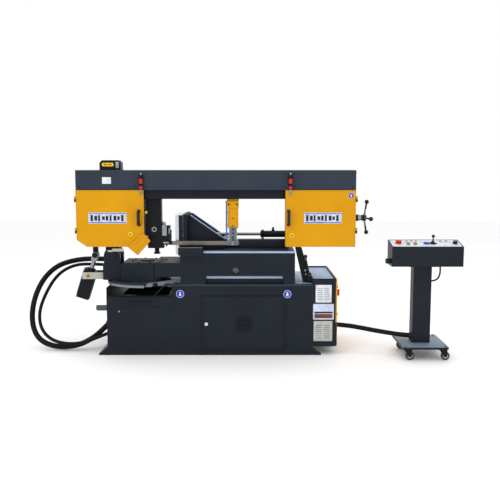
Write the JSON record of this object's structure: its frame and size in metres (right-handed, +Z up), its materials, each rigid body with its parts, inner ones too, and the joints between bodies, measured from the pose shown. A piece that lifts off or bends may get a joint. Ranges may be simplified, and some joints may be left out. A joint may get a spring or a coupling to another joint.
{
  "type": "band saw",
  "caption": "Horizontal metal-cutting band saw with a lifting, swivelling bow on a cabinet base, hydraulic vise, electrics cabinet and a wheeled control desk.",
  "frame": {"origin": "on the floor under the middle of the base cabinet", "axes": "+X along the bow towards the control desk, -Y towards the operator, +Z up"},
  "size_m": [3.8062, 0.978, 1.686],
  "materials": {
    "base_paint": "satin blue-grey paint",
    "yellow_paint": "satin amber paint",
    "black_paint": "satin black paint",
    "steel": "brushed",
    "cast": "painted casting",
    "blade_steel": "brushed",
    "hose_rubber": "matt",
    "black_plastic": "matt",
    "red_plastic": "gloss",
    "green_plastic": "gloss",
    "grey_unit": "satin grey paint"
  },
  "bodies": {
    "root": {"base_cabinet": "base_paint", "chip_tray": "black_paint", "bed": "cast", "fixed_jaw": "steel", "vise_rail": "black_paint", "vise_cylinder": "steel", "turntable": "steel", "bow_rest": "black_paint", "fluid_units": "grey_unit", "electrics_cabinet": "base_paint", "switchgear": "grey_unit", "desk_stand": "steel", "desk_box": "base_paint", "main_hose": "hose_rubber", "return_hose": "hose_rubber", "desk_conduit": "hose_rubber", "desk_lead": "hose_rubber", "hose_glands": "black_plastic"},
    "head": {"swivel_arm": "cast", "pivot_post": "black_paint"},
    "bow": {"bow_beam": "base_paint", "blade_channel": "base_paint", "left_housing": "base_paint", "right_housing": "base_paint", "drive_unit": "grey_unit", "blade": "blade_steel", "left_guide": "black_paint", "bow_boxes": "black_paint"},
    "left_door": {"left_door": "yellow_paint", "left_handle": "black_plastic"},
    "right_door": {"right_door": "yellow_paint", "right_handle": "black_plastic"},
    "drive_wheel": {"drive_wheel": "steel"},
    "idler_wheel": {"idler_wheel": "steel"},
    "guide_arm": {"guide_arm": "yellow_paint", "guide_block": "steel"},
    "lift_cylinder": {"lift_cylinder": "black_paint"},
    "lift_rod": {"lift_rod": "steel"},
    "tension_handle": {"tension_handle": "black_plastic"},
    "moving_jaw": {"moving_jaw": "cast", "jaw_rod": "steel"},
    "base_door": {"base_door": "base_paint"},
    "base_lock": {"base_lock": "black_paint"},
    "chip_drawer": {"chip_drawer": "base_paint"},
    "cabinet_door": {"cabinet_door": "yellow_paint"},
    "main_switch": {"main_switch": "red_plastic"},
    "e_stop": {"e_stop": "red_plastic"},
    "start_button": {"start_button": "green_plastic"},
    "stop_button": {"stop_button": "red_plastic"},
    "joystick": {"joystick": "black_plastic"},
    "speed_knob": {"speed_knob": "black_plastic"},
    "valve_lever": {"valve_lever": "black_plastic"},
    "fork_front_left": {"fork_front_left": "black_paint"},
    "wheel_front_left": {"wheel_front_left": "hose_rubber"},
    "fork_front_right": {"fork_front_right": "black_paint"},
    "wheel_front_right": {"wheel_front_right": "hose_rubber"},
    "fork_rear_left": {"fork_rear_left": "black_paint"},
    "wheel_rear_left": {"wheel_rear_left": "hose_rubber"},
    "fork_rear_right": {"fork_rear_right": "black_paint"},
    "wheel_rear_right": {"wheel_rear_right": "hose_rubber"}
  },
  "joints": [
    {"name": "head_swivel", "type": "hinge", "parent": "root", "child": "head", "pos_m": [-0.55, -0.217, 0.65], "axis": [0, 0, 1], "range_deg": [-40, 0]},
    {"name": "bow_lift", "type": "hinge", "parent": "head", "child": "bow", "pos_m": [-0.846, -0.217, 0.865], "axis": [0, -1, 0], "range_deg": [0, 28]},
    {"name": "cylinder_swing", "type": "hinge", "parent": "head", "child": "lift_cylinder", "pos_m": [-1.065, -0.217, 0.684], "axis": [0, -1, 0], "range_deg": [-17.8, 1]},
    {"name": "rod_stroke", "type": "slide", "parent": "lift_cylinder", "child": "lift_rod", "axis": [0.3114, 0, 0.9503], "range_m": [-0.06162, 0.001]},
    {"name": "drive_wheel_spin", "type": "hinge", "parent": "bow", "child": "drive_wheel", "pos_m": [-0.85, -0.22, 1.188], "axis": [0, -1, 0], "continuous": true},
    {"name": "idler_wheel_spin", "type": "hinge", "parent": "bow", "child": "idler_wheel", "pos_m": [0.955, -0.22, 1.188], "axis": [0, -1, 0], "continuous": true},
    {"name": "guide_arm_slide", "type": "slide", "parent": "bow", "child": "guide_arm", "axis": [1, 0, 0], "range_m": [-0.34, 0]},
    {"name": "left_door_swing", "type": "hinge", "parent": "bow", "child": "left_door", "pos_m": [-1.15, -0.332, 1.188], "axis": [0, 0, 1], "range_deg": [-100, 0]},
    {"name": "right_door_swing", "type": "hinge", "parent": "bow", "child": "right_door", "pos_m": [1.266, -0.332, 1.188], "axis": [0, 0, 1], "range_deg": [0, 100]},
    {"name": "tension_turn", "type": "hinge", "parent": "bow", "child": "tension_handle", "pos_m": [1.345, -0.22, 1.188], "axis": [1, 0, 0], "range_deg": [0, 300]},
    {"name": "jaw_slide", "type": "slide", "parent": "root", "child": "moving_jaw", "axis": [1, 0, 0], "range_m": [0, 0.32]},
    {"name": "base_door_swing", "type": "hinge", "parent": "root", "child": "base_door", "pos_m": [0.655, -0.392, 0.28], "axis": [0, 0, 1], "range_deg": [0, 110]},
    {"name": "base_lock_turn", "type": "hinge", "parent": "base_door", "child": "base_lock", "pos_m": [-0.028, -0.392, 0.279], "axis": [0, 1, 0], "range_deg": [0, 90]},
    {"name": "drawer_slide", "type": "slide", "parent": "root", "child": "chip_drawer", "axis": [0, -1, 0], "range_m": [0, 0.38]},
    {"name": "cabinet_door_swing", "type": "hinge", "parent": "root", "child": "cabinet_door", "pos_m": [1.104, 0.394, 0.48], "axis": [0, 0, 1], "range_deg": [0, 90]},
    {"name": "main_switch_turn", "type": "hinge", "parent": "cabinet_door", "child": "main_switch", "pos_m": [1.104, -0.33, 0.545], "axis": [1, 0, 0], "range_deg": [0, 90]},
    {"name": "e_stop_press", "type": "slide", "parent": "root", "child": "e_stop", "axis": [0, 0.2008, -0.9796], "range_m": [0, 0.004], "stiffness_N_per_m": 1500},
    {"name": "start_press", "type": "slide", "parent": "root", "child": "start_button", "axis": [0, 0.2008, -0.9796], "range_m": [0, 0.003], "stiffness_N_per_m": 800},
    {"name": "stop_press", "type": "slide", "parent": "root", "child": "stop_button", "axis": [0, 0.2008, -0.9796], "range_m": [0, 0.003], "stiffness_N_per_m": 800},
    {"name": "joystick_tilt", "type": "hinge", "parent": "root", "child": "joystick", "pos_m": [1.913, -0.38, 0.9785], "axis": [0, 1, 0], "range_deg": [-15, 15], "stiffness_Nm_per_rad": 0.8},
    {"name": "speed_knob_turn", "type": "hinge", "parent": "root", "child": "speed_knob", "pos_m": [2.101, -0.39, 0.97645], "axis": [0, -0.2008, 0.9796], "range_deg": [0, 270]},
    {"name": "valve_lever_tilt", "type": "hinge", "parent": "root", "child": "valve_lever", "pos_m": [0.862, -0.35, 0.7], "axis": [0, 1, 0], "range_deg": [-25, 0]},
    {"name": "swivel_front_left", "type": "hinge", "parent": "root", "child": "fork_front_left", "pos_m": [1.684, -0.532, 0.0995], "axis": [0, 0, 1], "continuous": true},
    {"name": "roll_front_left", "type": "hinge", "parent": "fork_front_left", "child": "wheel_front_left", "pos_m": [1.708, -0.532, 0.037], "axis": [0, 1, 0], "continuous": true},
    {"name": "swivel_front_right", "type": "hinge", "parent": "root", "child": "fork_front_right", "pos_m": [1.984, -0.532, 0.0995], "axis": [0, 0, 1], "continuous": true},
    {"name": "roll_front_right", "type": "hinge", "parent": "fork_front_right", "child": "wheel_front_right", "pos_m": [2.008, -0.532, 0.037], "axis": [0, 1, 0], "continuous": true},
    {"name": "swivel_rear_left", "type": "hinge", "parent": "root", "child": "fork_rear_left", "pos_m": [1.684, -0.156, 0.0995], "axis": [0, 0, 1], "continuous": true},
    {"name": "roll_rear_left", "type": "hinge", "parent": "fork_rear_left", "child": "wheel_rear_left", "pos_m": [1.708, -0.156, 0.037], "axis": [0, 1, 0], "continuous": true},
    {"name": "swivel_rear_right", "type": "hinge", "parent": "root", "child": "fork_rear_right", "pos_m": [1.984, -0.156, 0.0995], "axis": [0, 0, 1], "continuous": true},
    {"name": "roll_rear_right", "type": "hinge", "parent": "fork_rear_right", "child": "wheel_rear_right", "pos_m": [2.008, -0.156, 0.037], "axis": [0, 1, 0], "continuous": true}
  ],
  "couplings": [
    {"joint": "cylinder_swing", "follows": "bow_lift", "ratio": -0.6},
    {"joint": "rod_stroke", "follows": "bow_lift", "m_per_rad": -0.122},
    {"joint": "idler_wheel_spin", "follows": "drive_wheel_spin", "ratio": 1}
  ]
}
